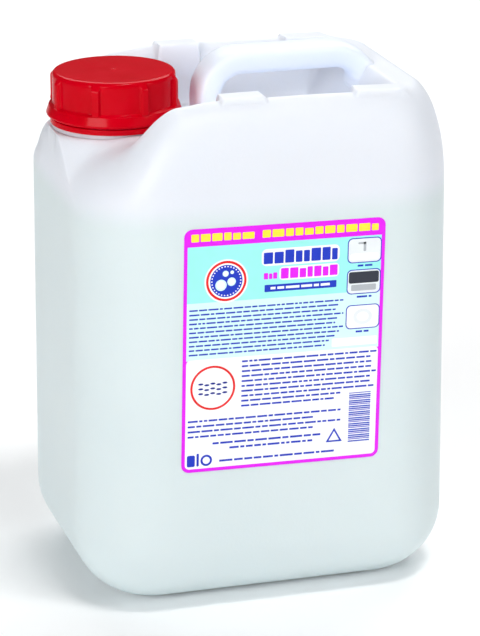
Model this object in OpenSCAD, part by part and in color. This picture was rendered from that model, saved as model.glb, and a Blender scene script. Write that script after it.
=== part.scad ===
// Five litre blow-moulded jerrycan with a ribbed screw cap, a torn-off seal ring and a front label.
// Millimetres, +Z up, front face towards -Y, neck at the -X end, origin under the middle of the base.

/* [Body] */

// overall width along X
body_w = 188; // [176:1:200]

// overall depth along Y
body_d = 150; // [140:1:160]

// height of the low shoulder round the neck
shoulder_h = 229; // [210:1:250]

// rise of the two long top ridges above the shoulder
ridge_rise = 23.6; // [18:0.1:28]

// depth of the hand trench floor under the handle, below the shoulder
trench_depth = 5; // [3:0.5:9]

// plan radius of the four upright corners
corner_r = 39; // [34:1:42]

// radius of the edge round the base
base_r = 34; // [26:1:36]

// depth of the shallow recess in the underside
recess_h = 2; // [1:0.5:4]

// inward lean of each end wall over its height
end_lean = 1.2; // [0:0.1:2]

// wall thickness of the blow moulding
wall_t = 1.6; // [1.2:0.1:2.2]

/* [Top edges] */

// reach of the rounding above the front and back walls
side_reach = 22; // [18:1:24]

// drop of the rounding above the front and back walls
side_drop = 25; // [20:1:30]

// reach of the rounding at the right end
right_reach = 18; // [16:1:26]

// drop of the rounding at the right end
right_drop = 54; // [36:1:60]

// reach of the rounding at the neck end
left_reach = 34; // [28:1:38]

// drop of the rounding at the neck end
left_drop = 38; // [30:1:44]

/* [Trench] */

// distance from the front wall to the near edge of the trench's floor
trench_side = 35; // [33:0.5:37]

// run of the trench's long walls across Y, up to the middle of a ridge
trench_run = 20; // [16:1:22]

// distance from the right end wall to the foot of the trench's end wall
trench_end_inset = 45; // [42:1:48]

// run of the trench's end wall along X
trench_end_run = 16; // [12:1:20]

/* [Stacking lugs] */

// height of a lug above the ridge line
lug_h = 0.4; // [0.2:0.1:2]

// distance of the lugs' middle line from the front or back wall
lug_inset = 18.5; // [17:0.5:20]

// size of a lug across the ridge
lug_w = 13; // [11:0.5:14]

// distance from the neck's axis to the left lug's middle
lug_left_gap = 47; // [43:0.5:50]

// length of the left lug
lug_left_l = 22; // [16:1:26]

// distance from the right end wall to the right lug's middle
lug_right_inset = 38.5; // [36:0.5:42]

// length of the right lug
lug_right_l = 30; // [24:1:32]

/* [Handle] */

// rise of the grip's middle line above the shoulder
grip_rise = 27.2; // [24:0.1:31]

// clear way between the cap's flare and the handle's left leg
grip_gap = 6.3; // [4:0.1:9]

// distance from the right end wall to the right leg's middle line
grip_right_inset = 29; // [27:0.5:32]

// radius of the grip's middle line at its two bends
grip_bend_r = 17; // [14:0.5:18]

// half thickness of the grip
grip_half_t = 6.3; // [5.5:0.1:7]

// half width of the grip across Y
grip_half_w = 10.5; // [9:0.5:12]

/* [Neck] */

// outer radius of the neck under the thread
neck_r = 25.4; // [23:0.1:28]

// wall of the neck
neck_wall_t = 2.6; // [2:0.1:3]

// height of the neck above its collar
neck_h = 21.3; // [20:0.1:24]

// rise of the collar's top face above the shoulder
collar_rise = 1.4; // [1:0.1:3]

// spread of the collar from its top face down to its foot
collar_spread = 2.2; // [1:0.1:3]

// distance from the collar's foot to the end wall beside it
neck_edge = 1.1; // [0.5:0.1:4]

// projection of the locking bead that holds the seal ring down
bead_out = 1.7; // [1.2:0.1:2]

// thickness of the locking bead
bead_h = 1.2; // [0.8:0.1:1.3]

/* [Thread] */

// pitch of the thread
pitch = 5; // [4.8:0.1:5.2]

// turns of thread on the neck
neck_turns = 1.75; // [1.5:0.25:1.75]

// turns of thread in the cap
cap_turns = 1.5; // [1.25:0.25:1.5]

// projection of the neck's thread
neck_thread_h = 1.9; // [1.6:0.1:2.1]

// distance from the sealing rim down to the neck thread's upper end
thread_drop = 3.75; // [3.4:0.05:4.4]

// width of a thread at its root
thread_root_w = 2.6; // [2.2:0.1:2.7]

// width of a thread at its crest
thread_crest_w = 1.1; // [0.8:0.1:1.3]

/* [Cap] */

// room between the neck and the cap's skirt, in which the two threads engage
thread_room = 2.3; // [2.2:0.1:2.6]

// wall of the cap's skirt
skirt_t = 2.1; // [1.8:0.1:2.5]

// projection of the cap's thread
cap_thread_h = 1.8; // [1.4:0.1:2]

// gap between the seal ring and the cap's lower edge
cap_gap = 0.4; // [0.2:0.1:0.8]

// thickness of the cap's top plate
cap_plate_t = 2.2; // [1.8:0.1:2.6]

// radius of the rounded edge round the cap's top
cap_edge_r = 2.5; // [2:0.25:3.5]

// projection of the flared rim from the skirt
flare_out = 3.1; // [2.4:0.1:3.6]

// height of the flare's widest line above the cap's lower edge
flare_low = 1.7; // [1.2:0.1:2.2]

// height of the flare's slope above its widest line
flare_slope_h = 4.1; // [3.4:0.1:5]

// projection of the ledge at the foot of the panels between the ribs
ledge_out = 1.7; // [1.4:0.1:2]

// number of grip ribs round the cap
rib_count = 8; // [6:1:12]

// projection of a grip rib from the skirt
rib_out = 1.8; // [1.2:0.1:2.2]

// width of a grip rib
rib_w = 3.8; // [2.4:0.1:4.6]

// turn of the first rib from +X, in degrees
rib_phase = 14; // [0:1:45]

// radius of the vent hole in the cap's top plate
vent_r = 0.5; // [0.3:0.1:0.8]

// distance of the vent hole from the cap's axis
vent_offset = 15; // [12:0.5:18]

/* [Seal ring] */

// projection of the seal ring beyond the cap's skirt
ring_out = 1.2; // [0.8:0.1:1.6]

// wall of the seal ring
ring_t = 1.6; // [1.2:0.1:1.8]

// height of the seal ring
ring_h = 2.7; // [2.4:0.1:3.2]

// gap between the neck and the ring's ledge
ledge_gap = 0.7; // [0.5:0.1:1]

// thickness of the ring's ledge
ledge_h = 1; // [0.8:0.1:1.2]

// overhang of the seal ring beyond the collar's top face
ring_over = 1.8; // [1:0.1:2.4]

/* [Gasket] */

// gap between the gasket disc and the cap's skirt
gasket_gap = 1.1; // [0.6:0.1:1.4]

// thickness of the gasket disc
gasket_t = 1.6; // [1.2:0.1:2]

/* [Label] */

// margin between the label and the rounding of an upright corner
label_margin = 5.25; // [2:0.25:10]

// height of the label
label_h = 121.4; // [110:0.5:125]

// corner radius of the label
label_corner_r = 4; // [2:0.5:8]

// thickness of the label film
label_t = 0.2; // [0.15:0.01:0.3]

// shift of the label from the middle of the front
label_shift = 0.8; // [0:0.1:1.5]

// distance from the shoulder's height down to the label's middle
label_drop = 95.5; // [92:0.5:100]

// turn of the label, clockwise seen from the front, in degrees
label_tilt = 1.1; // [0:0.05:2]

/* [Hidden] */

eps = 0.01;
full_turn = 360;
quarter_turn = 90;

// heights that follow from the sizes above
crest_h = shoulder_h + ridge_rise;
trench_h = shoulder_h - trench_depth;
grip_z = shoulder_h + grip_rise;
collar_h = shoulder_h + collar_rise;
rim_h = collar_h + neck_h;
cap_in_top = rim_h + gasket_t;
cap_top_h = cap_in_top + cap_plate_t;
cap_low_h = collar_h + ring_h + cap_gap;
flare_h = cap_low_h + flare_low;
flare_top_h = flare_h + flare_slope_h;

// radii of the closure from the neck outwards
neck_bore_r = neck_r - neck_wall_t;
bead_r = neck_r + bead_out;
ledge_r = neck_r + ledge_gap;
cap_bore_r = neck_r + thread_room;
gasket_r = cap_bore_r - gasket_gap;
cap_r = cap_bore_r + skirt_t;
flare_r = cap_r + flare_out;
rib_r = cap_r + rib_out;
ring_r = cap_r + ring_out;
collar_top_r = ring_r - ring_over;
collar_low_r = collar_top_r + collar_spread;

// places along X, from the two ends
half_w = body_w / 2;
neck_x = -half_w + neck_edge + collar_low_r;
grip_left_x = neck_x + flare_r + grip_gap + grip_half_t;
grip_right_x = half_w - grip_right_inset;
trench_end_x = half_w - trench_end_inset;
trench_half = body_d / 2 - trench_side;
lug_y = body_d / 2 - lug_inset;
lug_left_x = neck_x + lug_left_gap;
lug_right_x = half_w - lug_right_inset;

// the label between the roundings of the two front corners
label_w = body_w - 2 * corner_r - 2 * label_margin;
label_z = shoulder_h - label_drop;

// share of the way from 0 to 1, eased at both ends
function ease(t) = t <= 0 ? 0 : t >= 1 ? 1 : t * t * (3 - 2 * t);
function mix(a, b, t) = a + (b - a) * t;

// the neck end's slope of the two ridges, as start and run along X
slope_x = 16 - half_w;
slope_run = 32;
slope_last = 2.5;
last_x = 39 - half_w;
last_run = 30;
slope_main = ridge_rise - slope_last;
crown_x = 15;
crown_run = 60;
crown_fall = 1.4;
function ridge_h(x) =
    shoulder_h + slope_main * ease((x - slope_x) / slope_run)
    + slope_last * ease((x - last_x) / last_run)
    - crown_fall * ease((x - crown_x) / crown_run);

// the trench floor, from the neck's shoulder down to the part under the handle
fall_x = neck_x + 31.5;
fall_run = 14;
function floor_h(x) = mix(shoulder_h, trench_h, ease((x - fall_x) / fall_run));

// how far a trench wall's inner face stands back, as a share of the wall's thickness
wall_back = 1.4;

// the top face above a point in plan, moved inwards by g for the inside of the wall
function top_h(x, y, g) =
    let (
        side = ease((abs(y) - trench_half - wall_back * g) / trench_run),
        end = ease((x - trench_end_x - wall_back * g) / trench_end_run),
        cover = 1 - (1 - side) * (1 - end)
    )
    mix(floor_h(x), ridge_h(x), cover) - g;

// the seat round the neck: a low cone that keeps the shoulder up where the end rounding falls away
seat_r = collar_low_r + 1.6;
seat_fall = 1.3;
seat_under = 0.5;
blend_near = 4;
blend_far = 24;
blend_run = 22;
function seated(x, y, z, g) =
    let (
        r = norm([x - neck_x, y]) + g * wall_back,
        blend = blend_near + blend_far * ease((r - seat_r) / blend_run),
        s = shoulder_h - seat_under - g - seat_fall * max(0, r - seat_r) - (blend - blend_near) / 8,
        near = max(0, 1 - abs(z - s) / blend)
    )
    max(z, s) + blend * near * near / 4;

// one closed ring in plan: half sizes to the left, right and side, corner radii in X and Y
corner_n = 7;
long_n = 22;
short_n = 8;
function corner_pts(cx, cy, rx, ry, a0, n) =
    [for (i = [0 : n])
        let (a = a0 + quarter_turn * i / n)
        [cx + rx * cos(a), cy + ry * sin(a), a]];
function side_pts(p, q, n, a) =
    [for (i = [1 : n - 1]) [mix(p[0], q[0], i / n), mix(p[1], q[1], i / n), a]];
function ring_pts(l, r, b, rl, rr, ry, nc, nl, ns) =
    concat(
        corner_pts(r - rr, b - ry, rr, ry, 0, nc),
        side_pts([r - rr, b], [rl - l, b], nl, 90),
        corner_pts(rl - l, b - ry, rl, ry, 90, nc),
        side_pts([-l, b - ry], [-l, ry - b], ns, 180),
        corner_pts(rl - l, ry - b, rl, ry, 180, nc),
        side_pts([rl - l, -b], [r - rr, -b], nl, 270),
        corner_pts(r - rr, ry - b, rr, ry, 270, nc),
        side_pts([r, ry - b], [r, b - ry], ns, 360)
    );

// a ring set in from the walls by dl, dr and ds
small_r = 3;
function inset_ring(dl, dr, ds, g, f) =
    ring_pts(
        body_w / 2 - g - dl,
        body_w / 2 - g - dr,
        body_d / 2 - g - ds,
        max(corner_r - g - dl, small_r),
        max(corner_r - g - dr, small_r),
        max(corner_r - g - ds, small_r),
        f[0], f[1], f[2]
    );

function at_height(ring, z) = [for (p = ring) [p[0], p[1], z]];

// share of an end wall in a ring point's facing, and the drop of its top rounding
function end_share(p) = pow(cos(p[2]), 2);
function edge_drop(p, g) =
    mix(side_drop, p[0] < 0 ? left_drop : right_drop, end_share(p)) - g;

// the rings from the middle of the underside up over the edges to the middle of the top
under_insets = [[30, 1], [16, 1], [7, 0]];
wall_shares = [0.34, 0.67, 1];
edge_angles = [11, 22, 33, 45, 56, 67, 78, 90];
top_shares = [0.04, 0.08, 0.125, 0.17, 0.215, 0.27, 0.34, 0.46, 0.62, 0.8, 0.93];

function under_rings(g, f) =
    let (d = base_r - g)
    [
        for (i = under_insets)
            at_height(inset_ring(d + i[0], d + i[0], d + i[0], g, f), i[1] * recess_h + g)
    ];
function foot_rings(g, f) =
    let (d = base_r - g)
    [for (a = f[3])
        let (i = d * (1 - sin(a)))
        at_height(inset_ring(i, i, i, g, f), g + d * (1 - cos(a)))];
function wall_rings(g, f) =
    [for (t = wall_shares)
        let (ring = inset_ring(end_lean * t, end_lean * t, 0, g, f))
        [for (p = ring)
            let (z = seated(p[0], p[1], top_h(p[0], p[1], g) - edge_drop(p, g), g))
            [p[0], p[1], mix(base_r, z, t)]]];
function edge_rings(g, f) =
    [for (a = edge_angles)
        let (
            i = 1 - cos(a),
            dl = end_lean + (left_reach - g) * i,
            dr = end_lean + (right_reach - g) * i,
            ring = inset_ring(dl, dr, (side_reach - g) * i, g, f)
        )
        [for (p = ring)
            let (z = top_h(p[0], p[1], g) - edge_drop(p, g) * (1 - sin(a)))
            [p[0], p[1], seated(p[0], p[1], z, g)]]];
left_share = 0.6;
right_share = 0.7;
function top_rings(g, f) =
    let (
        half = body_d / 2 - side_reach,
        left = body_w / 2 - left_reach,
        right = body_w / 2 - right_reach,
        lean = end_lean - g
    )
    [for (t = top_shares)
        let (ring = inset_ring(
            lean + left_reach + t * left * left_share,
            lean + right_reach + t * right * right_share,
            side_reach - g + t * half,
            g, f
        ))
        [for (p = ring) [p[0], p[1], seated(p[0], p[1], top_h(p[0], p[1], g), g)]]];

// skin through a list of rings, closed at both ends
function strip_faces(n, rings) =
    [for (k = [0 : rings - 2], j = [0 : n - 1])
        [k * n + j, (k + 1) * n + j, (k + 1) * n + (j + 1) % n, k * n + (j + 1) % n]];
function end_fan(n, at, mid, up) =
    [for (j = [0 : n - 1]) up ? [at + j, mid, at + (j + 1) % n] : [at + j, at + (j + 1) % n, mid]];
function mean(v, k) = [for (i = [0 : k]) 1] * [for (i = [0 : k]) v[i]] / (k + 1);
function middle(ring) = mean(ring, len(ring) - 1);

module skin(rings) {
    n = len(rings[0]);
    m = len(rings);
    pts = concat([for (r = rings) each r], [middle(rings[0]), middle(rings[m - 1])]);
    faces = concat(
        strip_faces(n, m),
        end_fan(n, 0, n * m, false),
        end_fan(n, n * (m - 1), n * m + 1, true)
    );
    polyhedron(points = pts, faces = faces, convexity = 8);
}

module body_skin(g, f) {
    skin(concat(under_rings(g, f), foot_rings(g, f), wall_rings(g, f), edge_rings(g, f), top_rings(g, f)));
}

outer_f = [corner_n, long_n, short_n, [0, 12, 24, 36, 48, 60, 72, 84, 90]];
inner_f = [5, 18, 5, [0, 18, 36, 54, 72, 90]];

// the handle's middle line as points and headings, from inside the left leg to inside the right one
leg_z = trench_h - 10;
right_leg_z = trench_h + 4;
bend_n = 7;
grip_path = concat(
    [[grip_left_x, leg_z, quarter_turn]],
    [for (i = [0 : bend_n])
        let (a = full_turn / 2 - quarter_turn * i / bend_n)
        bend_point(grip_left_x + grip_bend_r, a)],
    [[(grip_left_x + grip_right_x) / 2, grip_z, 0]],
    [for (i = [0 : bend_n])
        let (a = quarter_turn - quarter_turn * i / bend_n)
        bend_point(grip_right_x - grip_bend_r, a)],
    [[grip_right_x, right_leg_z, -quarter_turn]]
);
function bend_point(x, a) =
    [x + grip_bend_r * cos(a), grip_z - grip_bend_r + grip_bend_r * sin(a), a - quarter_turn];
grip_n = 20;
grip_power = 0.56;
function rounded(v) = sign(v) * pow(abs(v), grip_power);
function grip_ring(p, g) =
    [for (i = [0 : grip_n - 1])
        let (
            a = full_turn * i / grip_n,
            u = (grip_half_t - g) * rounded(cos(a)),
            v = -(grip_half_w - g) * rounded(sin(a))
        )
        [p[0] - u * sin(p[2]), v, p[1] + u * cos(p[2])]];

module grip(g) {
    skin([for (p = grip_path) grip_ring(p, g)]);
}

// one stacking lug with sloped flanks on the side sy of the can, its right flank run long,
// set in by g for its hollow
lug_slope = 1.2;
lug_root = 18;
module lug(x, l, sy, run, g) {
    base_z = crest_h - lug_root;
    low = x - l / 2 + g;
    high = x + l / 2 - g;
    side = lug_w / 2 - g;
    y = sy * lug_y;
    top_a = ridge_h(low) + lug_h - g;
    top_b = ridge_h(high - run) + lug_h - g;
    foot_a = top_a - lug_foot;
    foot_b = ridge_h(high) - lug_foot / 4 - g;
    in_y = side - lug_slope;
    polyhedron(
        points = [
            [low, y - side, base_z], [high, y - side, base_z], [high, y + side, base_z], [low, y + side, base_z],
            [low, y - side, foot_a], [high, y - side, foot_b], [high, y + side, foot_b], [low, y + side, foot_a],
            [low + lug_slope, y - in_y, top_a], [high - run, y - in_y, top_b],
            [high - run, y + in_y, top_b], [low + lug_slope, y + in_y, top_a]
        ],
        faces = [
            [0, 1, 2, 3],
            [4, 5, 1, 0], [5, 6, 2, 1], [6, 7, 3, 2], [7, 4, 0, 3],
            [8, 9, 5, 4], [9, 10, 6, 5], [10, 11, 7, 6], [11, 8, 4, 7],
            [11, 10, 9, 8]
        ]
    );
}
lug_foot = 2.4;
left_lug_run = 1.2;
right_lug_run = 8;
module lugs(g) {
    for (s = [-1, 1]) {
        lug(lug_left_x, lug_left_l, s, left_lug_run, g);
        lug(lug_right_x, lug_right_l, s, right_lug_run, g);
    }
}

// thread on a cylinder of radius r: dir 1 stands out from it, dir -1 stands in
thread_steps = 36;
function thread_ring(r, h, dir, z, a, s) =
    let (
        root = r - dir * thread_sink,
        crest = r + dir * h * s,
        c = cos(a),
        d = sin(a),
        rw = thread_root_w / 2,
        cw = thread_crest_w / 2
    )
    [
        [root * c, root * d, z - rw],
        [crest * c, crest * d, z - cw],
        [crest * c, crest * d, z + cw],
        [root * c, root * d, z + rw]
    ];
thread_sink = 0.6;
fade = 0.12;
function fade_share(t, turns) =
    max(0.12, min(1, t * turns / fade, (1 - t) * turns / fade));
module thread(r, h, dir, z0, turns, a0) {
    n = ceil(thread_steps * turns);
    rings = [for (i = [0 : n])
        let (t = i / n)
        thread_ring(r, h, dir, z0 + pitch * turns * t, a0 + full_turn * turns * t, fade_share(t, turns))];
    turned = dir < 0 ? rings : [for (q = rings) [q[3], q[2], q[1], q[0]]];
    skin(turned);
}

// hollow below the collar, so that the wall stays even there
collar_foot_h = collar_h - 8.4;
module collar_outer() {
    cylinder(h = collar_h - collar_foot_h, r1 = collar_low_r, r2 = collar_top_r, $fn = 96);
}
module collar_inner() {
    cylinder(h = collar_h - collar_foot_h - 3, r1 = collar_low_r - 4, r2 = neck_bore_r, $fn = 96);
}

bead_gap = 0.3;
module neck_outer() {
    translate([0, 0, collar_foot_h])
        collar_outer();
    translate([0, 0, collar_h - eps])
        cylinder(h = rim_h - collar_h + eps, r = neck_r, $fn = 96);
    translate([0, 0, collar_h + ledge_h + bead_gap])
        cylinder(h = bead_h, r = bead_r, $fn = 96);
}

module can() {
    color([0.90, 0.94, 0.97])
        difference() {
            union() {
                body_skin(0, outer_f);
                grip(0);
                lugs(0);
                translate([neck_x, 0, 0]) {
                    neck_outer();
                    thread(neck_r, neck_thread_h, 1, neck_thread_z, neck_turns, 0);
                }
            }
            body_skin(wall_t, inner_f);
            grip(wall_t);
            lugs(wall_t);
            translate([neck_x, 0, collar_foot_h])
                collar_inner();
            translate([neck_x, 0, collar_foot_h])
                cylinder(h = rim_h - collar_foot_h + 1, r = neck_bore_r, $fn = 96);
        }
}

// the cap's profile as radius and height, from the axis over the top and down the flare
edge_n = 6;
flare_in = 2.2;
ledge_fall = 0.9;
function cap_profile() = concat(
    [[0, cap_in_top], [0, cap_top_h]],
    [for (i = [0 : edge_n])
        let (a = quarter_turn - quarter_turn * i / edge_n)
        [cap_r - cap_edge_r + cap_edge_r * cos(a), cap_top_h - cap_edge_r + cap_edge_r * sin(a)]],
    [
        [cap_r, flare_top_h + ledge_fall],
        [cap_r + ledge_out, flare_top_h],
        [flare_r, flare_h],
        [flare_r - 0.3, flare_h - 0.6],
        [ring_r, cap_low_h],
        [ring_r - flare_in, cap_low_h],
        [flare_r - flare_in - 0.9, flare_h],
        [cap_bore_r, flare_top_h - flare_in / 2],
        [cap_bore_r, cap_in_top]
    ]
);

rib_top_z = cap_top_h - 2.6;
rib_in = 1.2;
module rib() {
    rotate([quarter_turn, 0, 0])
        translate([0, 0, -rib_w / 2])
            linear_extrude(height = rib_w)
                polygon([
                    [cap_r - rib_in, flare_top_h - ledge_fall],
                    [rib_r, flare_top_h - ledge_fall],
                    [rib_r, rib_top_z - 3.2],
                    [cap_r - 0.5, rib_top_z + 1.2],
                    [cap_r - rib_in, rib_top_z + 1.2]
                ]);
}

neck_thread_z = rim_h - thread_drop - pitch * neck_turns;
cap_thread_z = neck_thread_z + pitch / 2;
module cap() {
    color([0.84, 0.01, 0.12])
        translate([neck_x, 0, 0])
            difference() {
                union() {
                    rotate_extrude($fn = 96)
                        polygon(cap_profile());
                    for (i = [0 : rib_count - 1])
                        rotate([0, 0, rib_phase + i * full_turn / rib_count])
                            rib();
                    thread(cap_bore_r, cap_thread_h, -1, cap_thread_z, cap_turns, 0);
                }
                translate([vent_offset * cos(60), vent_offset * sin(60), cap_in_top - 1])
                    cylinder(h = cap_plate_t + 2, r = vent_r, $fn = 32);
            }
}

module cap_gasket() {
    color([0.93, 0.93, 0.90])
        translate([neck_x, 0, rim_h])
            cylinder(h = cap_in_top - rim_h, r = gasket_r, $fn = 96);
}

module tamper_ring() {
    color([0.84, 0.01, 0.12])
        translate([neck_x, 0, collar_h])
            difference() {
                cylinder(h = ring_h, r = ring_r, $fn = 96);
                translate([0, 0, -1])
                    cylinder(h = ring_h + 2, r = ledge_r, $fn = 96);
                translate([0, 0, ledge_h])
                    cylinder(h = ring_h, r = ring_r - ring_t, $fn = 96);
            }
}

module label_outline() {
    w = label_w / 2 - label_corner_r;
    h = label_h / 2 - label_corner_r;
    square([2 * w, label_h], center = true);
    square([label_w, 2 * h], center = true);
    for (sx = [-1, 1])
        for (sy = [-1, 1])
            translate([sx * w, sy * h])
                circle(r = label_corner_r, $fn = 48);
}

module label() {
    color([0.97, 0.97, 0.98])
        translate([label_shift, -body_d / 2, label_z])
            rotate([quarter_turn, label_tilt, 0])
                linear_extrude(height = label_t)
                    label_outline();
}

can();
cap();
tamper_ring();
cap_gasket();
label();
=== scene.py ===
"""A five litre jerrycan on a pale floor: natural polyethylene can, red screw cap, printed label."""

import math

import bmesh
import bpy
import numpy as np
from mathutils import Matrix, Vector


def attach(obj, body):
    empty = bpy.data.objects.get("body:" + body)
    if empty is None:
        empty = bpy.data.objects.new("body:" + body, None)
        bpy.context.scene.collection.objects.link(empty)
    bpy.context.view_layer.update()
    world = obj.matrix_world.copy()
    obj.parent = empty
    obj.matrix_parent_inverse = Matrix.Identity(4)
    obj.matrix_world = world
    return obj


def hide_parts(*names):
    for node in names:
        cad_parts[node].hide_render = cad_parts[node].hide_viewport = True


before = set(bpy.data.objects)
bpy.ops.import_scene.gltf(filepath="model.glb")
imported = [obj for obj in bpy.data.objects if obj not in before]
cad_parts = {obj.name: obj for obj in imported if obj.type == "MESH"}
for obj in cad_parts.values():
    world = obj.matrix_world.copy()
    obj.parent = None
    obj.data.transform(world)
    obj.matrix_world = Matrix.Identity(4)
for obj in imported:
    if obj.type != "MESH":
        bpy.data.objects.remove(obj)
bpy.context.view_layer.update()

MM = 0.001


# ---- mesh helpers: every size below is in millimetres until a piece is finished ----


def finished(name, bm, body, replaced=(), sharp=40):
    """Turns a bmesh in millimetres into a smooth piece in metres that rides on a body."""
    bmesh.ops.scale(bm, vec=(MM, MM, MM), verts=bm.verts)
    for face in bm.faces:
        face.smooth = True
    limit = math.radians(sharp)
    for edge in bm.edges:
        edge.smooth = len(edge.link_faces) == 2 and edge.calc_face_angle(0) < limit
    mesh = bpy.data.meshes.new(name)
    bm.to_mesh(mesh)
    bm.free()
    piece = bpy.data.objects.new(name, mesh)
    bpy.context.scene.collection.objects.link(piece)
    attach(piece, body)
    if replaced:
        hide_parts(*replaced)
    return piece


def skin(bm, rings, closed=True):
    """Wraps a grid into a tube through rings of equal length and closes its ends with fans."""
    rows, around = len(rings), len(rings[0])
    grid = bmesh.ops.create_grid(bm, x_segments=around, y_segments=rows - 1, size=1)["verts"]
    for k, ring in enumerate(rings):
        for j in range(around + 1):
            grid[k * (around + 1) + j].co = ring[j % around]
    bmesh.ops.remove_doubles(bm, verts=grid, dist=1e-5)
    made = [v for v in grid if v.is_valid]
    ends = [e for e in {e for v in made for e in v.link_edges} if e.is_boundary]
    if closed and ends:
        filled = bmesh.ops.holes_fill(bm, edges=ends, sides=0)["faces"]
        bmesh.ops.poke(bm, faces=filled)
    faces = list({f for v in made for f in v.link_faces})
    bmesh.ops.recalc_face_normals(bm, faces=faces)
    return [v for v in made if v.is_valid]


def turned(bm, profile, centre, steps, closed=True):
    """Spins a profile of radius and height points about an upright axis."""
    cx, cy = centre
    verts = [bm.verts.new((cx + r, cy, z)) for r, z in profile]
    pairs = list(zip(verts, verts[1:]))
    if closed:
        pairs.append((verts[-1], verts[0]))
    edges = [bm.edges.new(p) for p in pairs]
    bmesh.ops.spin(
        bm,
        geom=verts + edges,
        cent=(cx, cy, 0),
        axis=(0, 0, 1),
        angle=math.tau,
        steps=steps,
        use_merge=True,
    )
    axis_verts = [v for v in bm.verts if math.hypot(v.co.x - cx, v.co.y - cy) < 1e-4]
    bmesh.ops.remove_doubles(bm, verts=axis_verts, dist=1e-3)
    bmesh.ops.recalc_face_normals(bm, faces=bm.faces)


def rounded_profile(points, segments=4):
    """Rounds the corners of a profile given as (radius, height, corner radius) points."""
    out = []
    count = len(points)
    for i, (r, z, bend) in enumerate(points):
        here = np.array([r, z], float)
        if bend <= 0:
            out.append(here)
            continue
        before = np.array(points[i - 1][:2], float) - here
        after = np.array(points[(i + 1) % count][:2], float) - here
        lb, la = np.linalg.norm(before), np.linalg.norm(after)
        before, after = before / lb, after / la
        turn = math.acos(max(-1, min(1, float(before @ after))))
        reach = min(bend / math.tan(turn / 2), 0.48 * lb, 0.48 * la)
        start, end = here + before * reach, here + after * reach
        for k in range(segments + 1):
            t = k / segments
            out.append((1 - t) ** 2 * start + 2 * t * (1 - t) * here + t * t * end)
    return [(float(p[0]), float(p[1])) for p in out]


# ---- the can's body: rings in plan, lifted onto the ridges, the trench and the neck's seat ----

BODY_W, BODY_D = 188, 150
CREST, SHOULDER, TRENCH = 252.6, 229, 224
CORNER_R, BASE_R, RECESS = 39, 34, 2
END_LEAN = 1.2
WALL = 1.6
# Rounding of the top edges: how far it reaches inwards and how far it drops.
SIDE_REACH, SIDE_DROP = 22, 25
LEFT_REACH, LEFT_DROP = 34, 38
RIGHT_REACH, RIGHT_DROP = 18, 54
# Ridges: the main rise, a late rise and a faint fall, each with its place and its run along X.
RISE_X, RISE_RUN = -78, 32
LATE_RISE, LATE_X, LATE_RUN = 2.5, -55, 30
FALL, FALL_X, FALL_RUN = 1.4, 15, 60
# Trench between the ridges: the step down behind the neck, its two sides and its right end.
STEP_X, STEP_RUN = -30, 14
TRENCH_Y, TRENCH_SIDE_RUN = 40, 20
TRENCH_X, TRENCH_END_RUN = 49, 16
# The neck's seat: a cone whose blend into the shoulder grows with the distance.
NECK_X, SEAT_R = -61.5, 33
SEAT_UNDER, SEAT_SLOPE = 0.5, 1.3
BLEND_NEAR, BLEND_GROW, BLEND_RUN = 4, 24, 22
# Stacking lugs: height over the ridge, place, half width and run of the sides across it.
LUG_H, LUG_Y, LUG_HALF_W, LUG_SIDE_RUN = 0.4, 56.5, 6.9, 1.3
# The short and the long lug: start and end along X, then the run of either end.
LUG_SPANS = ((-26.1, -3.1, 1.3, 1.4), (40.1, 70.5, 1.3, 8))
# Rings of the base: inset beyond the base's rounding and share of the recess's height.
BASE_STEPS = (
    (30, 1), (23, 1), (16, 1), (14, 0.94), (11.5, 0.5), (9, 0.06), (7, 0), (3, 0),
)
WALL_ROWS = 14
# Share of the way to the middle that the innermost ring has on the left and on the right.
INNER_LEFT, INNER_RIGHT = 0.6, 0.7
# The body is open under the neck, within this radius and above this height.
NECK_HOLE_R, NECK_HOLE_Z = 27.5, 200
# Points of a ring: round a corner, along a long side and along a short side.
CORNER_N, LONG_N, SHORT_N = 16, 116, 26


def ease(t):
    t = np.clip(t, 0, 1)
    return t * t * (3 - 2 * t)


def ridge_height(x):
    """Height of the two long ridges: up from the neck's shoulder, then a faint fall."""
    return (
        SHOULDER
        + (CREST - SHOULDER - LATE_RISE) * ease((x - RISE_X) / RISE_RUN)
        + LATE_RISE * ease((x - LATE_X) / LATE_RUN)
        - FALL * ease((x - FALL_X) / FALL_RUN)
    )


def top_height(x, y):
    """Height of the can's top without its rounded edges: the ridges and the trench."""
    floor = SHOULDER + (TRENCH - SHOULDER) * ease((x - STEP_X) / STEP_RUN)
    side = ease((np.abs(y) - TRENCH_Y) / TRENCH_SIDE_RUN)
    end = ease((x - TRENCH_X) / TRENCH_END_RUN)
    cover = 1 - (1 - side) * (1 - end)
    return floor + (ridge_height(x) - floor) * cover


def seated(x, y, z):
    """Keeps the shoulder up round the neck where the end's rounding falls away."""
    out = np.hypot(x - NECK_X, y) - SEAT_R
    blend = BLEND_NEAR + BLEND_GROW * ease(out / BLEND_RUN)
    cone = SHOULDER - SEAT_UNDER - SEAT_SLOPE * np.maximum(0, out) - (blend - BLEND_NEAR) / 8
    near = np.maximum(0, 1 - np.abs(z - cone) / blend)
    return np.maximum(z, cone) + blend * near**2 / 4


def lug_share(x, y):
    """How much of a stacking lug stands at a point: one short and one long on each ridge."""
    across = ease((LUG_HALF_W - np.abs(np.abs(y) - LUG_Y)) / LUG_SIDE_RUN)
    along = 0
    for start, end, start_run, end_run in LUG_SPANS:
        along = np.maximum(along, ease((x - start) / start_run) * ease((end - x) / end_run))
    return across * along


def with_lugs(x, y, z):
    """Lifts a surface to the top of the lugs where they stand."""
    return z + (ridge_height(x) + LUG_H - z) * lug_share(x, y)


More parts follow.
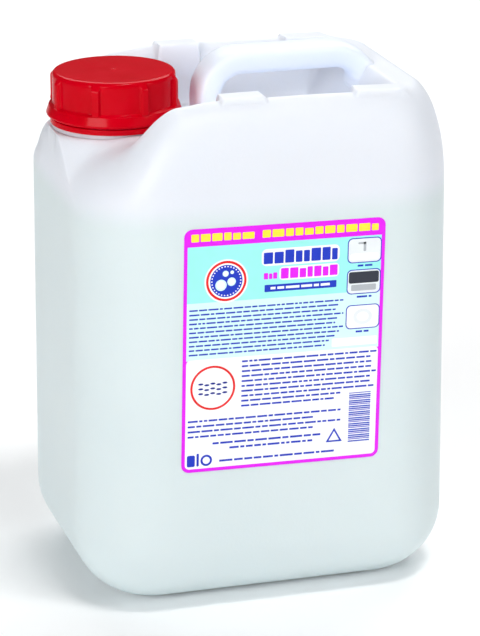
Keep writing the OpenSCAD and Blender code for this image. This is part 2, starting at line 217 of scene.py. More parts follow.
def plan_ring(left, right, side, r_left, r_right, r_side):
    """One closed ring in plan with the direction that each point faces."""

    def arc(cx, cy, rx, ry, start):
        a = np.radians(start + 90 * np.arange(CORNER_N + 1) / CORNER_N)
        return np.stack([cx + rx * np.cos(a), cy + ry * np.sin(a), a], 1)

    def line(p, q, n, facing):
        t = np.arange(1, n)[:, None] / n
        pts = np.array(p) + (np.array(q) - np.array(p)) * t
        return np.hstack([pts, np.full((n - 1, 1), math.radians(facing))])

    return np.vstack([
        arc(right - r_right, side - r_side, r_right, r_side, 0),
        line((right - r_right, side), (r_left - left, side), LONG_N, 90),
        arc(r_left - left, side - r_side, r_left, r_side, 90),
        line((-left, side - r_side), (-left, r_side - side), SHORT_N, 180),
        arc(r_left - left, r_side - side, r_left, r_side, 180),
        line((r_left - left, -side), (right - r_right, -side), LONG_N, 270),
        arc(right - r_right, r_side - side, r_right, r_side, 270),
        line((right, r_side - side), (right, side - r_side), SHORT_N, 360),
    ])


def inset_ring(left, right, side):
    """The body's plan, moved inwards at its left end, its right end and its long sides."""
    least = 3
    return plan_ring(
        BODY_W / 2 - left,
        BODY_W / 2 - right,
        BODY_D / 2 - side,
        max(CORNER_R - left, least),
        max(CORNER_R - right, least),
        max(CORNER_R - side, least),
    )


def lifted(ring, z):
    return np.stack([ring[:, 0], ring[:, 1], np.broadcast_to(z, len(ring))], 1)


def body_rings():
    """The can's outside as rings: base, base rounding, wall, top rounding, then the top inwards."""
    rings = []
    for inset, z in BASE_STEPS:
        d = BASE_R + inset
        rings.append(lifted(inset_ring(d, d, d), z * RECESS))
    for a in np.radians(np.arange(0, 90.1, 5)):
        d = BASE_R * (1 - math.sin(a))
        rings.append(lifted(inset_ring(d, d, d), BASE_R * (1 - math.cos(a))))

    def drop(ring):
        ends = np.cos(ring[:, 2]) ** 2
        low = np.where(ring[:, 0] < 0, LEFT_DROP, RIGHT_DROP)
        return SIDE_DROP + (low - SIDE_DROP) * ends

    for t in np.arange(1, WALL_ROWS + 1) / WALL_ROWS:
        ring = inset_ring(END_LEAN * t, END_LEAN * t, 0)
        x, y = ring[:, 0], ring[:, 1]
        z = seated(x, y, top_height(x, y) - drop(ring))
        rings.append(lifted(ring, BASE_R + (z - BASE_R) * t))
    angles = np.radians(np.concatenate([np.arange(5, 55, 5), np.arange(55, 90.1, 2.5)]))
    for a in angles:
        i = 1 - math.cos(a)
        ring = inset_ring(END_LEAN + LEFT_REACH * i, END_LEAN + RIGHT_REACH * i, SIDE_REACH * i)
        x, y = ring[:, 0], ring[:, 1]
        z = seated(x, y, top_height(x, y) - drop(ring) * (1 - math.sin(a)))
        rings.append(lifted(ring, with_lugs(x, y, z)))
    half = BODY_D / 2 - SIDE_REACH
    left = (BODY_W / 2 - LEFT_REACH) * INNER_LEFT
    right = (BODY_W / 2 - RIGHT_REACH) * INNER_RIGHT
    shares = np.concatenate([np.arange(0.015, 0.42, 0.015), np.arange(0.43, 0.97, 0.03)])
    for t in shares:
        ring = inset_ring(
            END_LEAN + LEFT_REACH + t * left,
            END_LEAN + RIGHT_REACH + t * right,
            SIDE_REACH + t * half,
        )
        x, y = ring[:, 0], ring[:, 1]
        z = seated(x, y, top_height(x, y))
        rings.append(lifted(ring, with_lugs(x, y, z)))
    return rings


def make_body():
    bm = bmesh.new()
    skin(bm, body_rings())
    under_neck = []
    for face in bm.faces:
        x, y, z = face.calc_center_median()
        if z > NECK_HOLE_Z and math.hypot(x - NECK_X, y) < NECK_HOLE_R:
            under_neck.append(face)
    bmesh.ops.delete(bm, geom=under_neck, context="FACES")
    body = finished("can_body", bm, "can", replaced=["can"], sharp=70)
    wall = body.modifiers.new("wall", "SOLIDIFY")
    wall.thickness = WALL * MM
    wall.offset = -1
    return body


# ---- the handle, swept along its bowed middle line with filleted feet ----

GRIP_Z, GRIP_LEFT, GRIP_RIGHT, GRIP_BEND = 256.2, -16, 65, 17
GRIP_HALF_T, GRIP_HALF_W = 6.3, 10.5
# Power of the section's rounding: 1 is an ellipse, less is squarer.
GRIP_SQUARE = 0.56
# Heights at which the middle line starts inside the left leg and ends inside the right one.
LEFT_FOOT_Z, RIGHT_FOOT_Z = 219, 229
# Fillets of the left and the right foot, and the place along X that parts the two.
FILLET, RIGHT_FILLET, FEET_PART_X = 5, 1.6, 20


def grip_bend(centre, low, start, end, count):
    """Points and headings round one bend of the handle, between two angles in degrees."""
    points = []
    for degrees in np.linspace(start, end, count):
        a = math.radians(degrees)
        x, z = centre + GRIP_BEND * math.cos(a), low + GRIP_BEND * math.sin(a)
        points.append((x, z, degrees - 90))
    return points


def grip_path():
    """Points and headings of the handle's middle line, from inside one leg to inside the other."""
    low = GRIP_Z - GRIP_BEND
    first, last = GRIP_LEFT + GRIP_BEND, GRIP_RIGHT - GRIP_BEND
    left = [(GRIP_LEFT, z, 90) for z in np.linspace(LEFT_FOOT_Z, low, 22)[:-1]]
    rise = grip_bend(first, low, 180, 90, 16)
    over = [(x, GRIP_Z, 0) for x in np.linspace(first, last, 12)[1:-1]]
    fall = grip_bend(last, low, 90, 0, 20)
    right = [(GRIP_RIGHT, z, -90) for z in np.linspace(low, RIGHT_FOOT_Z, 12)[1:]]
    return left + rise + over + fall + right


def make_handle():
    bm = bmesh.new()
    rings = []
    around = np.linspace(0, math.tau, 48, endpoint=False)
    c, s = np.cos(around), np.sin(around)
    u = GRIP_HALF_T * np.sign(c) * np.abs(c) ** GRIP_SQUARE
    v = -GRIP_HALF_W * np.sign(s) * np.abs(s) ** GRIP_SQUARE
    size = np.hypot(u, v)
    for px, pz, heading in grip_path():
        h = math.radians(heading)
        x, y, z = px - u * math.sin(h), v, pz + u * math.cos(h)
        fillet = FILLET if px < FEET_PART_X else RIGHT_FILLET
        above = np.clip(z - top_height(x, y), 0, fillet)
        grow = fillet - np.sqrt(np.maximum(fillet**2 - (fillet - above) ** 2, 0))
        k = 1 + grow / size
        rings.append(np.stack([px - u * k * math.sin(h), v * k, pz + u * k * math.cos(h)], 1))
    skin(bm, rings)
    return finished("can_handle", bm, "can", sharp=70)


# ---- neck, collar and thread ----

NECK_BORE, NECK_R, RIM = 22.8, 25.4, 251.7
COLLAR, COLLAR_R = 230.4, 29.2
BEAD_R, BEAD_LOW, BEAD_HIGH, BEAD_SLOPE = 27.1, 231.7, 232.7, 0.2
PITCH, THREAD_Z = 5, 239.2
NECK_THREAD_H, NECK_TURNS = 1.9, 1.75
CAP_THREAD_H, CAP_TURNS = 1.8, 1.5
# Section of a thread: share of its height outwards, or mm below its root, and mm upwards.
THREAD_SECTION = (
    (-0.6, -1.3), (0, -1.25), (0.75, -0.75), (1, -0.45),
    (1, 0.45), (0.75, 0.75), (0, 1.25), (-0.6, 1.3),
)
# Steps round one turn of a thread and round the turned rings.
STEPS_PER_TURN, RING_STEPS = 72, 128
# A thread starts at this share of its height and is full after this part of a turn.
THREAD_START, THREAD_FADE = 0.06, 0.12


def thread_rings(r, height, outwards, z0, turns):
    """Cross-sections of a thread along its helix, fading in and out at its ends."""
    rings = []
    steps = int(STEPS_PER_TURN * turns)
    side = 1 if outwards else -1
    for i in range(steps + 1):
        t = i / steps
        fade = min(1, THREAD_START + min(t, 1 - t) * turns / THREAD_FADE)
        a = math.tau * turns * t
        z = z0 + PITCH * turns * t
        ring = []
        for out, up in THREAD_SECTION:
            stand = out * height * fade if out > 0 else out
            radius = r + side * stand
            ring.append((NECK_X + radius * math.cos(a), radius * math.sin(a), z + up))
        rings.append(ring)
    return rings


def make_neck():
    bm = bmesh.new()
    outline = rounded_profile([
        (NECK_BORE, 227.4, 1.5),
        (NECK_BORE, RIM, 0.7),
        (NECK_R, RIM, 0.9),
        (NECK_R, BEAD_HIGH + BEAD_SLOPE, 0.3),
        (BEAD_R, BEAD_HIGH, 0.4),
        (BEAD_R, BEAD_LOW, 0.4),
        (NECK_R, BEAD_LOW - BEAD_SLOPE, 0.2),
        (NECK_R, COLLAR, 0.2),
        (COLLAR_R, COLLAR, 0.6),
        (30.0, SHOULDER, 1.2),
        (31.0, 227.6, 0),
        (30.6, 224, 0),
        (27.4, 222, 0),
    ])
    turned(bm, outline, (NECK_X, 0), RING_STEPS)
    skin(bm, thread_rings(NECK_R, NECK_THREAD_H, True, THREAD_Z, NECK_TURNS))
    return finished("can_neck", bm, "can", sharp=50)


# ---- screw cap ----

CAP_R, CAP_BORE, CAP_LOW, CAP_TOP = 29.8, 27.7, 233.5, 255.5
FLARE_R, FLARE_Z = 32.9, 235.2
LEDGE_R, LEDGE_Z, PANEL_FOOT = 31.5, 239.3, 240.2
CAP_EDGE_R, CAP_PLATE = 2.6, 2.2
# The gate mark in the middle of the top: a low disc in a shallow ring.
GATE_R, GATE_RISE, GATE_DIP, GATE_OUT_R = 1.1, 0.15, 0.1, 2.4
RIBS, RIB_R, RIB_W, RIB_PHASE = 8, 31.6, 3.8, 14
# Runs over which a rib rises at its sides, its top and its foot, and its swell over the ledge.
RIB_SIDE_RUN, RIB_TOP_GAP, RIB_TOP_RUN = 0.7, 1.0, 3.0
RIB_FOOT_DROP, RIB_FOOT_RUN, RIB_SWELL, SWELL_RUN = 2.4, 2.0, 0.3, 2.6
# Spacing of the skirt's points up its height, close enough to shape the ribs, and steps round it.
SKIRT_SPACING, CAP_STEPS = 0.9, 540


def rib_stand(x, y, z):
    """How far a grip rib stands out of the skirt at a point."""
    a = (math.degrees(math.atan2(y, x - NECK_X)) - RIB_PHASE) % (360 / RIBS)
    a = min(a, 360 / RIBS - a)
    arc = math.radians(a) * CAP_R
    across = float(ease((RIB_W / 2 + RIB_SIDE_RUN / 2 - arc) / RIB_SIDE_RUN))
    top = float(ease((CAP_TOP - RIB_TOP_GAP - z) / RIB_TOP_RUN))
    foot = float(ease((z - PANEL_FOOT + RIB_FOOT_DROP) / RIB_FOOT_RUN))
    swell = RIB_SWELL * float(ease((LEDGE_Z + SWELL_RUN - z) / SWELL_RUN))
    return (RIB_R - CAP_R + swell) * across * top * foot


def make_cap():
    bm = bmesh.new()
    outer = rounded_profile([
        (CAP_R - 8, CAP_TOP, 0),
        (CAP_R, CAP_TOP, CAP_EDGE_R),
        (CAP_R, PANEL_FOOT, 0.5),
        (LEDGE_R, LEDGE_Z, 0.5),
        (FLARE_R, FLARE_Z, 0.5),
        (FLARE_R - 0.3, FLARE_Z - 0.8, 0.5),
        (31, CAP_LOW, 0.3),
        (28.8, CAP_LOW, 0.3),
        (29.8, FLARE_Z, 0.5),
        (CAP_BORE, LEDGE_Z - 1.1, 0.8),
        (CAP_BORE, CAP_TOP - CAP_PLATE, 0.8),
        (0, CAP_TOP - CAP_PLATE, 0),
        (0, CAP_TOP + GATE_RISE, 0),
        (GATE_R, CAP_TOP + GATE_RISE, 0.2),
        (GATE_R + 0.2, CAP_TOP - GATE_DIP, 0.2),
        (GATE_OUT_R, CAP_TOP, 0.3),
    ], 6)
    dense = [outer[0]]
    for (r0, z0), (r1, z1) in zip(outer, outer[1:]):
        n = 1
        if min(r0, r1) > CAP_BORE - 0.7 and z0 > CAP_LOW + 1:
            n = max(1, int(math.hypot(r1 - r0, z1 - z0) / SKIRT_SPACING))
        dense += [(r0 + (r1 - r0) * k / n, z0 + (z1 - z0) * k / n) for k in range(1, n + 1)]
    turned(bm, dense, (NECK_X, 0), CAP_STEPS)
    for v in bm.verts:
        r = math.hypot(v.co.x - NECK_X, v.co.y)
        if r > CAP_BORE + 0.9 and v.co.z > FLARE_Z + 0.6:
            out = rib_stand(*v.co)
            skirt = max(0.0, r - CAP_R)
            k = 1 + max(0.0, out - skirt) / r
            v.co.x = NECK_X + (v.co.x - NECK_X) * k
            v.co.y *= k
    skin(bm, thread_rings(CAP_BORE, CAP_THREAD_H, False, THREAD_Z + PITCH / 2, CAP_TURNS))
    return finished("cap_shell", bm, "cap", replaced=["cap"], sharp=50)


SEAL_LEDGE_R, SEAL_BORE, SEAL_R = 26.1, 29.4, 31
SEAL_H, SEAL_LEDGE_H = 2.7, 1


def make_ring():
    bm = bmesh.new()
    outline = rounded_profile([
        (SEAL_LEDGE_R, COLLAR, 0),
        (SEAL_R, COLLAR, 0.4),
        (SEAL_R, COLLAR + SEAL_H, 0.4),
        (SEAL_BORE, COLLAR + SEAL_H, 0.3),
        (SEAL_BORE, COLLAR + SEAL_LEDGE_H, 0.2),
        (SEAL_LEDGE_R, COLLAR + SEAL_LEDGE_H, 0.2),
    ])
    turned(bm, outline, (NECK_X, 0), RING_STEPS)
    return finished("seal_ring", bm, "can", replaced=["tamper_ring"], sharp=50)


# ---- label: a film with a print of plain shapes laid on it ----

LABEL_W, LABEL_H, LABEL_X, LABEL_Z, LABEL_TILT = 99.5, 121.4, 0.8, 133.5, 1.1
# Thickness of the film, and the height of each layer of print above the one below it.
FILM, INK_STEP = 0.13, 0.006
FILM_CORNER_R = 4
INK = {
    "white": (0.93, 0.94, 0.95),
    "magenta": (0.76, 0.008, 0.84),
    "yellow": (0.95, 0.78, 0.05),
    "aqua": (0.33, 0.87, 0.80),
    "pale": (0.66, 0.94, 0.88),
    "blue": (0.008, 0.035, 0.50),
    "deep": (0.004, 0.015, 0.25),
    "red": (0.75, 0.008, 0.008),
    "grey": (0.42, 0.45, 0.48),
    "coal": (0.03, 0.035, 0.05),
    "silver": (0.78, 0.82, 0.84),
}


class Print:
    """Flat shapes on the label, in label widths across and label heights down."""

    def __init__(self):
        self.bm = bmesh.new()
        self.ink = self.bm.loops.layers.float_color.new("ink")

    def lay(self, verts, faces, ink, level):
        """Colours a shape and puts it at its layer, facing outwards."""
        for v in verts:
            v.co.z = FILM + INK_STEP * (level + 1)
        for f in faces:
            if f.normal.z < 0:
                f.normal_flip()
            for loop in f.loops:
                loop[self.ink] = (*INK[ink], 1)

    def box(self, u0, v0, u1, v1, ink, level, bend=0):
        """A filled box between two corners, with round corners of radius bend in mm."""
        x0, x1 = (u0 - 0.5) * LABEL_W, (u1 - 0.5) * LABEL_W
        y0, y1 = (0.5 - v1) * LABEL_H, (0.5 - v0) * LABEL_H
        verts = bmesh.ops.create_grid(self.bm, x_segments=1, y_segments=1, size=0.5)["verts"]
        bmesh.ops.scale(self.bm, vec=(x1 - x0, y1 - y0, 1), verts=verts)
        bmesh.ops.translate(self.bm, vec=((x0 + x1) / 2, (y0 + y1) / 2, 0), verts=verts)
        if bend:
            rounded = bmesh.ops.bevel(
                self.bm,
                geom=verts,
                affect="VERTICES",
                offset=bend,
                segments=6,
                profile=0.5,
                material=-1,
            )
            verts = rounded["verts"]
        faces = list({f for v in verts for f in v.link_faces})
        verts = list({v for f in faces for v in f.verts})
        self.bm.normal_update()
        self.lay(verts, faces, ink, level)

    def disc(self, u, v, r, ink, level, squash=1, sides=48):
        """A filled disc, or a polygon of few sides, with its radius in label widths."""
        place = ((u - 0.5) * LABEL_W, (0.5 - v) * LABEL_H, 0)
        made = bmesh.ops.create_circle(
            self.bm, cap_ends=True, segments=sides, radius=r * LABEL_W
        )["verts"]
        bmesh.ops.scale(self.bm, vec=(1, squash, 1), verts=made)
        bmesh.ops.translate(self.bm, vec=place, verts=made)
        self.bm.normal_update()
        self.lay(made, list({f for w in made for f in w.link_faces}), ink, level)

    def blocks(self, u0, v0, u1, v1, ink, level, count, seed):
        """A run of upright rounded blocks of uneven width and height, as bold as a headline."""
        dice = np.random.default_rng(seed)
        gap_share, lowered, bend = 0.16, 0.12, 0.45
        widths = dice.uniform(0.75, 1.3, count)
        gap = (u1 - u0) * gap_share / count
        widths *= (u1 - u0 - gap * (count - 1)) / widths.sum()
        u = u0
        for width in widths:
            top = v0 + (v1 - v0) * float(dice.choice([0, 0, lowered]))
            self.box(u, top, u + width, v1, ink, level, bend)
            u += width + gap

    def words(self, u0, v0, u1, v1, ink, level, seed, short=0.0):
        """One line of greeked print: bars as long as words, with gaps between them."""
        dice = np.random.default_rng(seed)
        shortest, longest, gap = 1.6, 6.5, 0.75
        height = (v1 - v0) * LABEL_H / LABEL_W
        u, end = u0, u1 - short
        while u < end - height:
            size = min(end - u, height * float(dice.uniform(shortest, longest)))
            self.box(u, v0, u + size, v1, ink, level)
            u += size + height * gap

    def lines(self, u0, v0, ends, pitch, height, level, seed, shorts=(0,)):
        """A paragraph of greeked print: one line for each right end in ends."""
        for i, end in enumerate(ends):
            v = v0 + i * pitch
            short = shorts[i % len(shorts)]
            self.words(u0, v, end, v + height, "blue", level, seed + i, short)


def print_fields(p):
    """The frame and the coloured fields, and the header's two runs of blocks."""
    p.box(0.0, 0.0, 1.0, 1.0, "magenta", 0, 4.0)
    p.box(0.018, 0.072, 0.982, 0.535, "pale", 1)
    p.box(0.018, 0.072, 0.982, 0.30, "aqua", 2)
    p.box(0.018, 0.532, 0.982, 0.9855, "white", 2, 2.2)
    p.blocks(0.035, 0.021, 0.345, 0.052, "yellow", 2, 6, 11)
    p.blocks(0.385, 0.021, 0.965, 0.052, "yellow", 2, 11, 12)


def print_badge(p):
    """A round badge with a ring of dots and rising bubbles."""
    u, v, dots, dots_r = 0.21, 0.217, 30, 0.0715
    rings = ((0.108, "white"), (0.100, "red"), (0.088, "white"), (0.080, "blue"))
    for level, (r, ink) in enumerate(rings, 3):
        p.disc(u, v, r, ink, level)
    for k in range(dots):
        a = math.tau * k / dots
        du, dv = dots_r * math.cos(a), dots_r * LABEL_W / LABEL_H * math.sin(a)
        p.disc(u + du, v + dv, 0.0034, "white", 7, sides=10)
    bubbles = (
        (-0.026, 0.016, 0.028),
        (0.026, 0.004, 0.021),
        (-0.004, -0.030, 0.015),
        (0.028, -0.034, 0.009),
    )
    for du, dv, r in bubbles:
        p.disc(u + du, v + dv, r, "pale", 7)
        p.disc(u + du, v + dv, r * 0.72, "white", 8)


def print_panel(p):
    """Headline blocks in the middle of the upper field."""
    p.box(0.383, 0.099, 0.772, 0.168, "white", 3, 2.5)
    p.blocks(0.393, 0.107, 0.762, 0.160, "blue", 4, 8, 13)
    p.blocks(0.395, 0.196, 0.462, 0.222, "magenta", 4, 3, 14)
    p.box(0.472, 0.175, 0.772, 0.230, "white", 3, 2.0)
    p.blocks(0.480, 0.181, 0.764, 0.224, "magenta", 4, 7, 15)
    p.box(0.40, 0.245, 0.76, 0.274, "blue", 4, 0.4)
    p.words(0.43, 0.2545, 0.735, 0.2645, "white", 5, 3)


def print_tiles(p):
    """Three framed tiles down the right side, each with a simple picture of shapes."""
    tiles = ((0.083, 0.178, "silver"), (0.212, 0.306, "silver"), (0.358, 0.450, "white"))
    for k, (v0, v1, ground) in enumerate(tiles):
        p.box(0.812, v0 - 0.004, 0.984, v1 + 0.004, "blue", 3, 2.4)
        p.box(0.817, v0, 0.979, v1, ground, 4, 2.1)
        v = (v0 + v1) / 2
        if k == 0:
            p.box(0.825, v + 0.012, 0.971, v1 - 0.008, "white", 5, 1.5)
            p.box(0.892, v0 + 0.014, 0.905, v + 0.004, "grey", 6, 0.4)
            p.box(0.865, v0 + 0.014, 0.905, v0 + 0.022, "grey", 6, 0.3)
        elif k == 1:
            p.box(0.822, v0 + 0.006, 0.974, v + 0.006, "coal", 5, 1.0)
            p.box(0.835, v + 0.012, 0.961, v1 - 0.010, "grey", 5, 0.6)
        else:
            p.disc(0.898, v, 0.048, "silver", 5, 0.82)
            p.disc(0.898, v, 0.030, "white", 6, 0.8)
        p.words(0.865, v1 + 0.011, 0.94, v1 + 0.019, "blue", 4, 20 + k)


def print_text(p):
    """Greeked text on both fields, and a stamp of rings and waves beside it."""
    p.lines(0.03, 0.326, [0.80] * 9 + [0.73] * 2, 0.0182, 0.0066, 3, 40, (0, 0.02, 0.04))
    p.box(0.745, 0.487, 0.975, 0.522, "white", 3, 0.6)
    p.disc(0.152, 0.652, 0.112, "red", 4)
    p.disc(0.152, 0.652, 0.101, "white", 5)
    for i in range(3):
        for j in range(5):
            u, v = 0.092 + j * 0.030, 0.634 + 0.020 * i + 0.005 * (j % 2)
            p.disc(u, v, 0.0125, "deep", 6, 0.42)
    p.lines(0.295, 0.548, [0.975] * 8 + [0.80] * 2, 0.0205, 0.0076, 4, 60, (0, 0.03, 0.02, 0.01))
    p.lines(0.03, 0.783, [0.80, 0.66, 0.80, 0.66], 0.0215, 0.0078, 4, 80)
    p.words(0.155, 0.880, 0.70, 0.8885, "blue", 4, 91)
    p.words(0.24, 0.903, 0.66, 0.9115, "blue", 4, 92)
    p.words(0.19, 0.955, 0.79, 0.9635, "blue", 4, 93)


def print_marks(p):
    """Bar and ring at the foot, a small triangle and an even hatch."""
    p.box(0.028, 0.928, 0.068, 0.976, "blue", 4, 0.8)
    p.box(0.076, 0.922, 0.088, 0.976, "blue", 4, 0.5)
    p.disc(0.125, 0.953, 0.029, "blue", 4)
    p.disc(0.125, 0.953, 0.018, "white", 5)
    p.disc(0.77, 0.902, 0.048, "blue", 4, sides=3)
    p.disc(0.77, 0.902, 0.031, "white", 5, sides=3)
    for i in range(26):
        v = 0.720 + i * 0.0081
        p.box(0.842, v, 0.952, v + (0.0056 if i % 3 else 0.0036), "blue", 4)


def make_print():
    p = Print()
    for part in (print_fields, print_badge, print_panel, print_tiles, print_text, print_marks):
        part(p)
    return p.bm


def on_front(bm):
    """Stands a flat shape up on the can's front face, at the label's place and tilt."""
    tilt = Matrix.Rotation(-math.radians(LABEL_TILT), 4, "Z")
    stand = Matrix.Rotation(math.pi / 2, 4, "X")
    place = Matrix.Translation((LABEL_X, -BODY_D / 2, LABEL_Z))
    bmesh.ops.transform(bm, matrix=place @ stand @ tilt, verts=bm.verts)


def make_label():
    bm = bmesh.new()
    made = bmesh.ops.create_grid(bm, x_segments=1, y_segments=1, size=0.5)["verts"]
    bmesh.ops.scale(bm, vec=(LABEL_W, LABEL_H, 1), verts=made)
    bmesh.ops.bevel(
        bm,
        geom=made,
        affect="VERTICES",
        offset=FILM_CORNER_R,
        segments=8,
        profile=0.5,
        material=-1,
    )
    grown = bmesh.ops.extrude_face_region(bm, geom=bm.faces[:])["geom"]
    upper = [g for g in grown if isinstance(g, bmesh.types.BMVert)]
    bmesh.ops.translate(bm, vec=(0, 0, FILM), verts=upper)
    bmesh.ops.recalc_face_normals(bm, faces=bm.faces)
    on_front(bm)
    film = finished("label_film", bm, "can", replaced=["label"], sharp=30)
    bm = make_print()
    on_front(bm)
    ink = finished("label_print", bm, "can", sharp=30)
    return film, ink


# ---- materials ----


def put(node, values):
    """Sets inputs of a node by name."""
    for name, value in values.items():
        node.inputs[name].default_value = value


def noise(nodes, links, vector, detail):
    node = nodes.new("ShaderNodeTexNoise")
    put(node, {"Detail": detail})
    links.new(vector, node.inputs["Vector"])
    return node


def moulded_surface_group():
    """Masks and a normal for moulded plastic: slow cloudiness, drawn streaks and a fine peel."""
    group = bpy.data.node_groups.new("moulded_surface", "ShaderNodeTree")
    sockets = group.interface
    for name, default in (("Cloud size", 12.0), ("Peel size", 700.0), ("Peel depth", 0.05)):
        socket = sockets.new_socket(name, in_out="INPUT", socket_type="NodeSocketFloat")
        socket.default_value = default
    sockets.new_socket("Cloud", in_out="OUTPUT", socket_type="NodeSocketFloat")
    sockets.new_socket("Streak", in_out="OUTPUT", socket_type="NodeSocketFloat")
    sockets.new_socket("Normal", in_out="OUTPUT", socket_type="NodeSocketVector")
    nodes, links = group.nodes, group.links
    given, out = nodes.new("NodeGroupInput"), nodes.new("NodeGroupOutput")
    place = nodes.new("ShaderNodeTexCoord").outputs["Object"]
    cloud = noise(nodes, links, place, 3)
    links.new(given.outputs["Cloud size"], cloud.inputs["Scale"])
    links.new(cloud.outputs["Fac"], out.inputs["Cloud"])
    stretch = nodes.new("ShaderNodeMapping")
    put(stretch, {"Scale": (90, 90, 4)})
    links.new(place, stretch.inputs["Vector"])
    streak = noise(nodes, links, stretch.outputs["Vector"], 2)
    put(streak, {"Scale": 1.0})
    links.new(streak.outputs["Fac"], out.inputs["Streak"])
    peel = noise(nodes, links, place, 2)
    links.new(given.outputs["Peel size"], peel.inputs["Scale"])
    bump = nodes.new("ShaderNodeBump")
    put(bump, {"Distance": 0.0004})
    links.new(given.outputs["Peel depth"], bump.inputs["Strength"])
    links.new(peel.outputs["Fac"], bump.inputs["Height"])
    links.new(bump.outputs["Normal"], out.inputs["Normal"])
    return group


class Finish:
    """A material of moulded plastic, with its shader and the masks of its surface."""

    def __init__(self, name, cloud, peel, depth):
        self.material = bpy.data.materials.new(name)
        self.material.use_nodes = True
        self.nodes = self.material.node_tree.nodes
        self.links = self.material.node_tree.links
        self.shader = self.nodes["Principled BSDF"]
        self.surface = self.nodes.new("ShaderNodeGroup")
        self.surface.node_tree = moulded_group
        put(self.surface, {"Cloud size": cloud, "Peel size": peel, "Peel depth": depth})
        self.links.new(self.surface.outputs["Normal"], self.shader.inputs["Normal"])

    def mottle(self, low, high):
        """A colour that wanders slowly between two."""
        node = self.nodes.new("ShaderNodeValToRGB")
        for element, at, colour in zip(node.color_ramp.elements, (0.3, 0.7), (low, high)):
            element.position = at
            element.color = (*colour, 1)
        self.links.new(self.surface.outputs["Cloud"], node.inputs["Fac"])
        return node.outputs["Color"]

    def spread(self, mask, low, high):
        """A value between two, by one of the surface's masks."""
        node = self.nodes.new("ShaderNodeMapRange")
        put(node, {"To Min": low, "To Max": high})
        self.links.new(self.surface.outputs[mask], node.inputs["Value"])
        return node.outputs["Result"]

    def feed(self, output, name):
        self.links.new(output, self.shader.inputs[name])


# The liquid's level in metres, and how far the change of tint reaches below and above it.
FILL_Z, FILL_BELOW, FILL_ABOVE = 0.199, 0.006, 0.010


def natural_polyethylene():
    """Pale translucent wall, a touch greener and denser where liquid stands behind it."""
    wall = Finish("natural_polyethylene", 14, 900, 0.10)
    nodes, links = wall.nodes, wall.links
    place = nodes.new("ShaderNodeTexCoord")
    split = nodes.new("ShaderNodeSeparateXYZ")
    links.new(place.outputs["Object"], split.inputs["Vector"])
    level = nodes.new("ShaderNodeMapRange")
    level.interpolation_type = "SMOOTHSTEP"
    put(level, {"From Min": FILL_Z - FILL_BELOW, "From Max": FILL_Z + FILL_ABOVE})
    links.new(split.outputs["Z"], level.inputs["Value"])
    both = nodes.new("ShaderNodeMix")
    both.data_type = "RGBA"
    wet = wall.mottle((0.675, 0.80, 0.835), (0.70, 0.82, 0.85))
    dry = wall.mottle((0.775, 0.835, 0.955), (0.795, 0.85, 0.965))
    links.new(level.outputs["Result"], both.inputs["Factor"])
    links.new(wet, both.inputs["A"])
    links.new(dry, both.inputs["B"])
    wall.feed(both.outputs["Result"], "Base Color")
    wall.feed(wall.spread("Cloud", 0.42, 0.54), "Roughness")
    put(wall.shader, {
        "Subsurface Weight": 0.5,
        "Subsurface Radius": (0.9, 1.0, 1.1),
        "Subsurface Scale": 0.006,
        "IOR": 1.5,
    })
    return wall.material


def glossy_red():
    """Saturated red of the cap and its seal ring, with a thin gloss."""
    shell = Finish("glossy_red_plastic", 60, 1400, 0.05)
    shell.feed(shell.mottle((0.52, 0.0, 0.006), (0.57, 0.0, 0.009)), "Base Color")
    shell.feed(shell.spread("Streak", 0.16, 0.26), "Roughness")
    put(shell.shader, {
        "Specular IOR Level": 0.02,
        "Coat Weight": 0.1,
        "Coat Roughness": 0.12,
        "Subsurface Weight": 0.08,
        "Subsurface Radius": (1.0, 0.1, 0.1),
        "Subsurface Scale": 0.002,
    })
    return shell.material


def gasket_foam():
    foam = Finish("gasket_foam", 300, 2500, 0.5)
    foam.feed(foam.mottle((0.80, 0.80, 0.76), (0.88, 0.88, 0.85)), "Base Color")
    put(foam.shader, {"Roughness": 0.8})
    return foam.material


def label_film():
    film = Finish("label_film", 40, 1800, 0.03)
    film.feed(film.mottle((0.86, 0.88, 0.90), (0.92, 0.93, 0.94)), "Base Color")
    put(film.shader, {"Roughness": 0.35})
    return film.material


def label_ink():
    """Printed ink: the colour of each shape, with a slight unevenness of the print."""
    ink = Finish("label_ink", 120, 1800, 0.03)
    colour = ink.nodes.new("ShaderNodeVertexColor")
    colour.layer_name = "ink"
    uneven = ink.nodes.new("ShaderNodeVectorMath")
    uneven.operation = "SCALE"
    ink.links.new(colour.outputs["Color"], uneven.inputs["Vector"])
    ink.links.new(ink.spread("Cloud", 0.93, 1.05), uneven.inputs["Scale"])
    ink.feed(uneven.outputs["Vector"], "Base Color")
    put(ink.shader, {"Roughness": 0.35, "Specular IOR Level": 0.3})
    return ink.material


def dress(piece, material):
    piece.data.materials.clear()
    piece.data.materials.append(material)


# ---- stage in metres: floor, light and camera ----

FLOOR_SIZE = 4
# Name, place, aim, width and height, and watts of each soft light.
LIGHTS = (
    ("overhead", (0.2, -0.55, 1.8), (0, 0, 0.12), (0.5, 0.3), 12.5),
    ("key", (1.5, -1.3, 0.9), (0, 0, 0.12), (0.5, 0.9), 11),
    ("fill", (-1.5, -1.45, 0.85), (0, 0, 0.12), (1.2, 0.8), 30),
    ("floor_wash", (0.7, 1.9, 1.9), (0.2, 1.1, 0), (2.8, 1.4), 56),
)
CAMERA_TURN, CAMERA_TILT, CAMERA_DISTANCE = math.radians(16.64), math.radians(18.48), 1.524
CAMERA_CENTRE = Vector((0, 0, 0.122))
AIM_RIGHT, AIM_UP = 0.0018, 0.0014
SENSOR, LENS = 36, 228.6


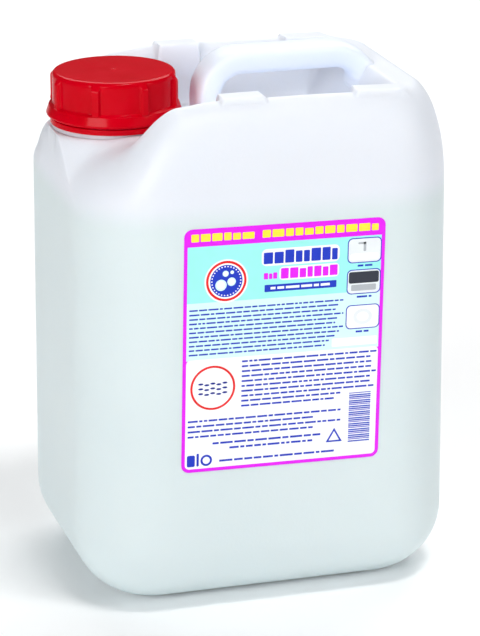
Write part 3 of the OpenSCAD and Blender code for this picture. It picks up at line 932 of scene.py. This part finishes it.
def make_floor():
    bm = bmesh.new()
    bmesh.ops.create_grid(bm, x_segments=1, y_segments=1, size=FLOOR_SIZE)
    mesh = bpy.data.meshes.new("floor")
    bm.to_mesh(mesh)
    bm.free()
    floor = bpy.data.objects.new("floor", mesh)
    bpy.context.scene.collection.objects.link(floor)
    paint = bpy.data.materials.new("pale_floor")
    paint.use_nodes = True
    put(paint.node_tree.nodes["Principled BSDF"], {
        "Base Color": (0.96, 0.96, 0.96, 1),
        "Roughness": 0.9,
        "Specular IOR Level": 0.1,
    })
    dress(floor, paint)


def looking(place, aim):
    """Rotation of a light or camera at a place that looks at a point."""
    return (Vector(aim) - Vector(place)).to_track_quat("-Z", "Y").to_euler()


def make_light():
    scene = bpy.context.scene
    world = bpy.data.worlds.new("studio")
    world.use_nodes = True
    put(world.node_tree.nodes["Background"], {"Color": (0.96, 0.98, 1, 1), "Strength": 0.10})
    scene.world = world
    for name, place, aim, size, power in LIGHTS:
        light = bpy.data.lights.new(name, "AREA")
        light.shape = "RECTANGLE"
        light.size, light.size_y = size
        light.energy = power
        lamp = bpy.data.objects.new(name, light)
        lamp.location = place
        lamp.rotation_euler = looking(place, aim)
        scene.collection.objects.link(lamp)
    scene.view_settings.view_transform = "Standard"


def make_camera():
    """The photo's angle: a little from the left and from above."""
    back = Vector((
        -math.sin(CAMERA_TURN) * math.cos(CAMERA_TILT),
        -math.cos(CAMERA_TURN) * math.cos(CAMERA_TILT),
        math.sin(CAMERA_TILT),
    ))
    right = Vector((math.cos(CAMERA_TURN), -math.sin(CAMERA_TURN), 0))
    up = right.cross(-back)
    lens = bpy.data.cameras.new("camera")
    lens.sensor_fit = "HORIZONTAL"
    lens.sensor_width = SENSOR
    lens.lens = LENS
    lens.clip_end = 20
    camera = bpy.data.objects.new("camera", lens)
    camera.location = CAMERA_CENTRE + back * CAMERA_DISTANCE
    aim = CAMERA_CENTRE + right * AIM_RIGHT + up * AIM_UP
    camera.rotation_euler = looking(camera.location, aim)
    bpy.context.scene.collection.objects.link(camera)
    bpy.context.scene.camera = camera


make_camera()
make_floor()
make_light()

moulded_group = moulded_surface_group()
wall_plastic, cap_plastic = natural_polyethylene(), glossy_red()
foam, film_finish, ink_finish = gasket_foam(), label_film(), label_ink()

dress(make_body(), wall_plastic)
dress(make_handle(), wall_plastic)
dress(make_neck(), wall_plastic)
dress(make_cap(), cap_plastic)
dress(make_ring(), cap_plastic)
film, ink = make_label()
dress(film, film_finish)
dress(ink, ink_finish)
dress(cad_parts["cap_gasket"], foam)
